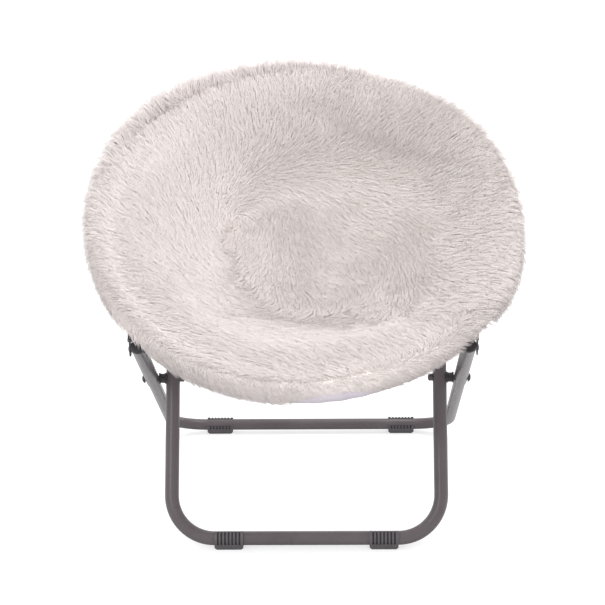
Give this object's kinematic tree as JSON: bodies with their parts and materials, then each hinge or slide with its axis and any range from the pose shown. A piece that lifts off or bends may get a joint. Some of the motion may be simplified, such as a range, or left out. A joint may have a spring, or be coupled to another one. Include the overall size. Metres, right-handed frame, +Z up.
{
  "type": "folding saucer chair",
  "caption": "Folding saucer chair: a padded fur seat on a hinged tubular ring, carried by two crossed tubular leg frames that fold together.",
  "frame": {"origin": "on the floor under the middle of the whole chair's box", "axes": "+X to the sitter's left side seen from the front, that is to the right in the picture; +Y to the rear; +Z up"},
  "size_m": [0.7596, 0.7494, 0.7705],
  "materials": {
    "frame_paint": "satin warm grey with a mauve cast",
    "bracket_paint": "satin warm grey",
    "dark_bolt": "satin near-black",
    "zinc_steel": "dull zinc",
    "cap_plastic": "matt black",
    "glide_plastic": "matt dark grey, ribbed",
    "fur": "long shaggy off-white pile",
    "wadding": "white fibre wadding",
    "lining": "pale lavender woven cloth, matt"
  },
  "bodies": {
    "front_legs": {"front_leg_frame": "frame_paint", "front_glide_left": "glide_plastic", "front_glide_right": "glide_plastic", "front_leg_caps": "cap_plastic", "pivot_bolts": "dark_bolt", "pivot_washers": "zinc_steel", "pivot_spacers": "cap_plastic", "pivot_cap_nuts": "dark_bolt"},
    "rear_legs": {"rear_leg_lower": "frame_paint", "rear_leg_upper_left": "frame_paint", "rear_leg_upper_right": "frame_paint", "rear_glide_left": "glide_plastic", "rear_glide_right": "glide_plastic", "rear_leg_caps": "cap_plastic"},
    "front_ring": {"front_hoop": "frame_paint", "front_bracket_left": "bracket_paint", "front_bracket_right": "bracket_paint", "front_bracket_rivets": "zinc_steel", "front_hinge_ends": "bracket_paint", "front_fur_cover": "fur", "front_seat_padding": "wadding", "front_seat_lining": "lining"},
    "rear_ring": {"rear_hoop": "frame_paint", "rear_bracket_left": "bracket_paint", "rear_bracket_right": "bracket_paint", "rear_bracket_rivets": "zinc_steel", "rear_hinge_ends": "bracket_paint", "hinge_pins": "zinc_steel", "rear_fur_cover": "fur", "rear_seat_padding": "wadding", "rear_seat_lining": "lining"}
  },
  "joints": [
    {"name": "leg_fold", "type": "hinge", "parent": "front_legs", "child": "rear_legs", "pos_m": [0, -0.01694, 0.268], "axis": [-1, 0, 0], "range_deg": [0, 60], "deforming": ["front_fur_cover", "front_seat_padding", "front_seat_lining", "rear_fur_cover", "rear_seat_padding", "rear_seat_lining"]},
    {"name": "front_ring_pivot", "type": "hinge", "parent": "rear_legs", "child": "front_ring", "pos_m": [0, -0.21683, 0.40086], "axis": [1, 0, 0], "range_deg": [0, 123.3]},
    {"name": "ring_hinge", "type": "hinge", "parent": "front_ring", "child": "rear_ring", "pos_m": [0, -0.03905, 0.54851], "axis": [-1, 0, 0], "range_deg": [0, 103.3]}
  ],
  "couplings": [
    {"joint": "front_ring_pivot", "follows": "leg_fold", "ratio": 2.0537},
    {"joint": "ring_hinge", "follows": "leg_fold", "ratio": 1.7201}
  ]
}
